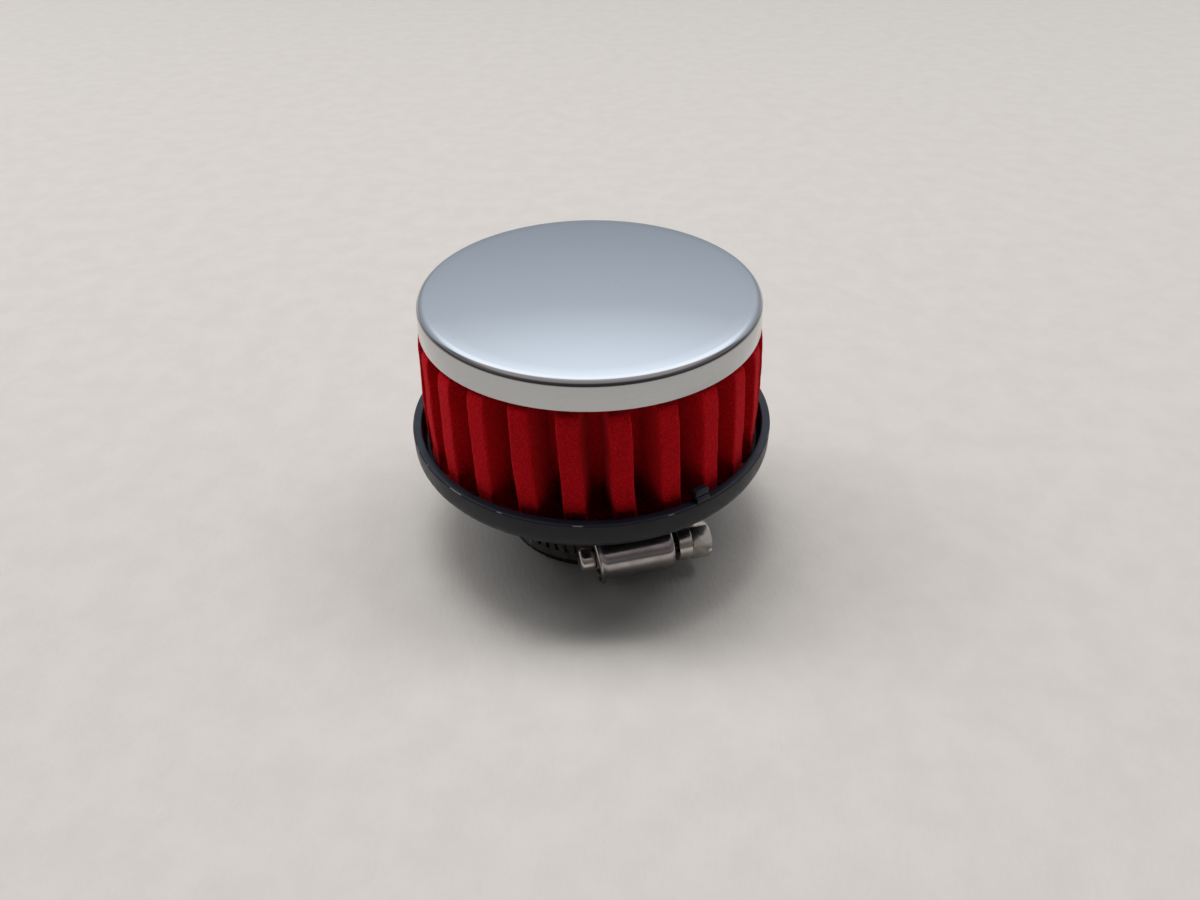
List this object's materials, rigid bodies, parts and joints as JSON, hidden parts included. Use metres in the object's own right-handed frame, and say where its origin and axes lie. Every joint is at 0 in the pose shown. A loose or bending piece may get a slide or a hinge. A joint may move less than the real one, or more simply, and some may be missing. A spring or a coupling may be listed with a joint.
{
  "type": "pod air filter",
  "caption": "Small round pod air filter: domed chrome cap, red pleated foam ring, black tray with a rubber neck and a worm-drive clamp.",
  "frame": {"origin": "on the neck's axis, at the neck's end, which is also the middle of the bounding box's underside", "axes": "+Z along the neck's axis up through the cap, -Y the side seen in the picture, +X to the right of it"},
  "size_m": [0.088, 0.088, 0.0671],
  "materials": {
    "cap_chrome": "mirror chrome plate on a smooth pressing",
    "inner_steel": "zinc plated, satin",
    "foam": "open-cell foam, dull and grainy",
    "tray_plastic": "black, satin to semi-gloss, lightly scuffed on the rim",
    "neck_rubber": "dull black",
    "clamp_steel": "satin stainless",
    "screw_steel": "bright plated, fine turning marks"
  },
  "bodies": {
    "filter": {"cap": "cap_chrome", "stud_dish": "inner_steel", "cap_stud": "inner_steel", "bridge_washer": "inner_steel", "lock_washer": "inner_steel", "stud_nut": "inner_steel", "foam_element": "foam", "support_tube": "inner_steel", "base_tray": "tray_plastic", "neck_sleeve": "neck_rubber", "clamp_band": "clamp_steel", "clamp_housing": "clamp_steel"},
    "clamp_screw": {"clamp_screw": "screw_steel"}
  },
  "joints": [
    {"name": "clamp_screw_turn", "type": "hinge", "parent": "filter", "child": "clamp_screw", "pos_m": [0.00664, -0.02705, 0.0085], "axis": [0.9711, 0.2385, 0], "continuous": true}
  ]
}
